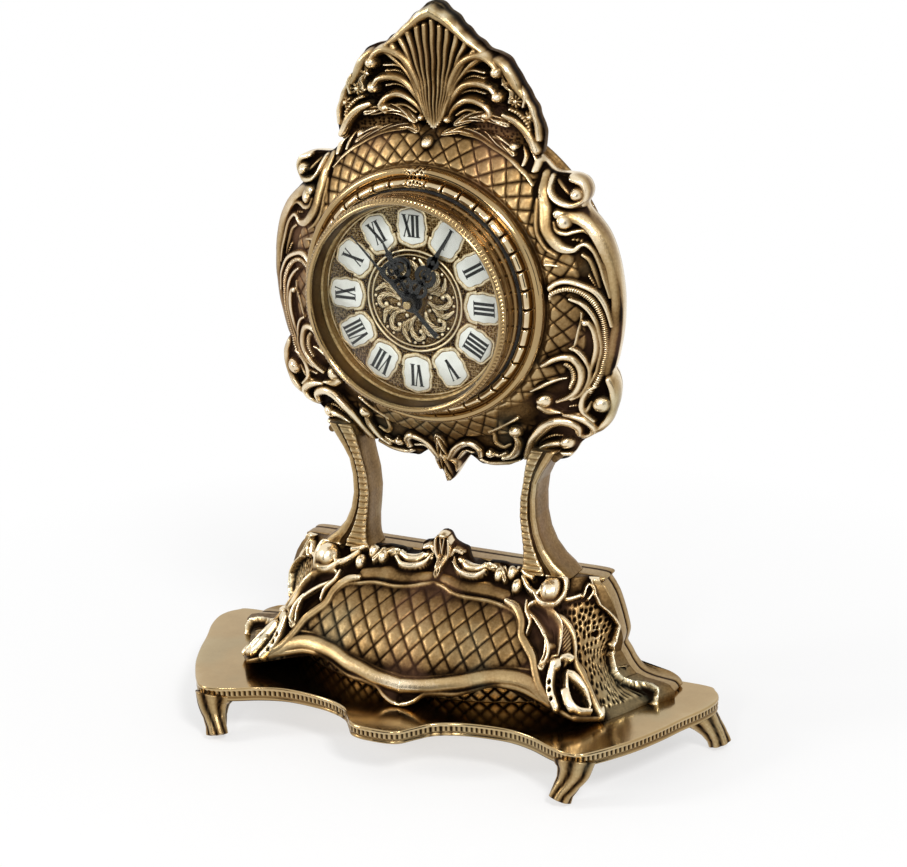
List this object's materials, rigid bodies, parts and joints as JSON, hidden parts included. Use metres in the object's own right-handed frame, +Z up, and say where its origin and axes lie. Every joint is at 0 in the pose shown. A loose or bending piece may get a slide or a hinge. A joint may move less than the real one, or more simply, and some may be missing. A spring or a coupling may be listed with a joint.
{
  "type": "desk clock",
  "caption": "Free-standing rococo desk clock: round domed dial in a scrolled brass head on two columns, a trellised pedestal and a footed plate.",
  "frame": {"origin": "on the floor, under the middle of the clock's width and depth", "axes": "+X to the right as seen from the front, the dial faces -Y, +Z up"},
  "size_m": [0.2458, 0.09, 0.3],
  "materials": {
    "cast_brass": "antiqued cast brass, dark in the recesses and worn bright on the high places",
    "polished_brass": "polished and lacquered brass",
    "dial_brass": "fine grained matt brass",
    "clear_glass": "clear domed glass",
    "white_enamel": "white enamel with black numerals",
    "black_steel": "black painted steel",
    "bright_steel": "bright steel",
    "movement_plastic": "black moulded plastic",
    "wheel_plastic": "natural acetal",
    "rubber": "black rubber",
    "battery_sleeve": "printed film over steel",
    "copper_wire": "enamelled copper wire",
    "board_laminate": "green laminate"
  },
  "bodies": {
    "case": {"foot_plate": "cast_brass", "foot_front_left": "cast_brass", "foot_front_right": "cast_brass", "foot_rear_left": "cast_brass", "foot_rear_right": "cast_brass", "pedestal_front": "cast_brass", "pedestal_back": "cast_brass", "pedestal_skirt": "cast_brass", "column_left": "cast_brass", "column_right": "cast_brass", "head_front": "cast_brass", "head_back": "cast_brass", "crest": "cast_brass", "collar": "polished_brass", "bezel": "polished_brass", "dial_spacer": "dial_brass", "dial_plate": "dial_brass", "dial_medallion": "dial_brass", "lens": "clear_glass", "hour_cartouches": "white_enamel", "base_screws": "bright_steel", "column_screws": "bright_steel", "head_screws": "bright_steel", "bowl_screws": "bright_steel", "pedestal_screws": "bright_steel", "hex_nut": "bright_steel", "battery_contact_plus": "bright_steel", "battery_contact_minus": "bright_steel", "stator": "bright_steel", "coil_core": "bright_steel", "quartz_crystal": "bright_steel", "dial_cup": "bright_steel", "movement_front": "movement_plastic", "movement_back": "movement_plastic", "train_plate": "movement_plastic", "coil_bobbin": "movement_plastic", "control_chip": "movement_plastic", "cup_gasket": "rubber", "dial_washer": "rubber", "battery": "battery_sleeve", "coil_winding": "copper_wire", "circuit_board": "board_laminate"},
    "hours": {"hour_hand": "black_steel", "hour_wheel": "wheel_plastic"},
    "minutes": {"minute_hand": "black_steel", "centre_wheel": "wheel_plastic"},
    "seconds": {"second_hand": "black_steel", "hub_cap": "polished_brass", "seconds_wheel": "wheel_plastic"},
    "motion_work": {"minute_wheel": "wheel_plastic"},
    "third": {"third_wheel": "wheel_plastic"},
    "intermediate": {"intermediate_wheel": "wheel_plastic"},
    "motor": {"rotor": "wheel_plastic"},
    "setting": {"setting_knob": "wheel_plastic"}
  },
  "joints": [
    {"name": "minute_turn", "type": "hinge", "parent": "case", "child": "minutes", "pos_m": [0, 0.01, 0.1853], "axis": [0, 1, 0], "continuous": true},
    {"name": "hour_turn", "type": "hinge", "parent": "case", "child": "hours", "pos_m": [0, 0.01, 0.1853], "axis": [0, 1, 0], "continuous": true},
    {"name": "second_turn", "type": "hinge", "parent": "case", "child": "seconds", "pos_m": [0, 0.01, 0.1853], "axis": [0, 1, 0], "continuous": true},
    {"name": "motion_turn", "type": "hinge", "parent": "case", "child": "motion_work", "pos_m": [0.009, 0.01, 0.1853], "axis": [0, 1, 0], "continuous": true},
    {"name": "third_turn", "type": "hinge", "parent": "case", "child": "third", "pos_m": [-0.0085, 0.01, 0.1853], "axis": [0, 1, 0], "continuous": true},
    {"name": "intermediate_turn", "type": "hinge", "parent": "case", "child": "intermediate", "pos_m": [-0.00148, 0.01, 0.19367], "axis": [0, 1, 0], "continuous": true},
    {"name": "motor_turn", "type": "hinge", "parent": "case", "child": "motor", "pos_m": [0.00277, 0.01, 0.20103], "axis": [0, 1, 0], "continuous": true},
    {"name": "setting_turn", "type": "hinge", "parent": "case", "child": "setting", "pos_m": [0.018, 0.01, 0.1853], "axis": [0, 1, 0], "continuous": true}
  ],
  "couplings": [
    {"joint": "hour_turn", "follows": "minute_turn", "ratio": 0.083333},
    {"joint": "second_turn", "follows": "minute_turn", "ratio": 60},
    {"joint": "motion_turn", "follows": "minute_turn", "ratio": -0.33333},
    {"joint": "third_turn", "follows": "minute_turn", "ratio": -8},
    {"joint": "intermediate_turn", "follows": "minute_turn", "ratio": -240},
    {"joint": "motor_turn", "follows": "minute_turn", "ratio": 1800},
    {"joint": "setting_turn", "follows": "minute_turn", "ratio": 1}
  ]
}
